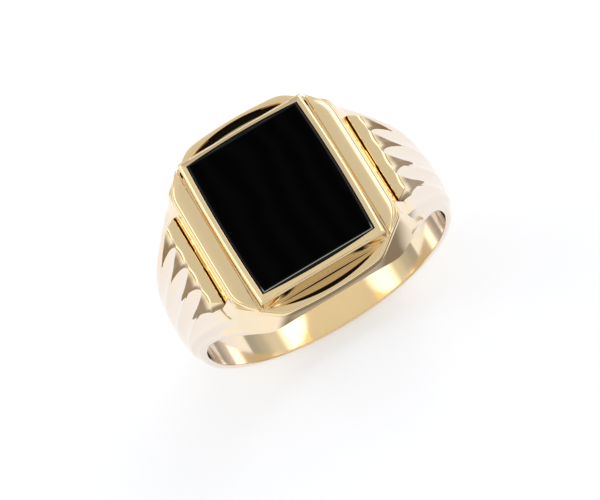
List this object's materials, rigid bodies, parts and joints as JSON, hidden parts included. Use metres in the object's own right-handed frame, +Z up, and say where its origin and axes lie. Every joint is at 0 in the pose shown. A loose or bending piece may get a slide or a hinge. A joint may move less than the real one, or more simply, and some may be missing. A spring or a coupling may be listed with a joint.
{
  "type": "signet ring",
  "caption": "Gold signet ring with a rectangular black stone in a stepped octagonal head and fluted shoulders.",
  "frame": {"origin": "centre of the finger hole", "axes": "+Z up through the middle of the stone, Y along the finger, X across it from shoulder to shoulder"},
  "size_m": [0.0222, 0.0152, 0.0235],
  "materials": {
    "gold": "14 carat yellow gold, mirror polished",
    "onyx": "black onyx, polished",
    "cement": "set cement, matte"
  },
  "bodies": {
    "root": {"shank": "gold", "right_shoulder_plate": "gold", "left_shoulder_plate": "gold", "head_frame": "gold", "right_rail": "gold", "left_rail": "gold", "bezel": "gold", "onyx_stone": "onyx", "setting_cement": "cement"}
  },
  "joints": []
}
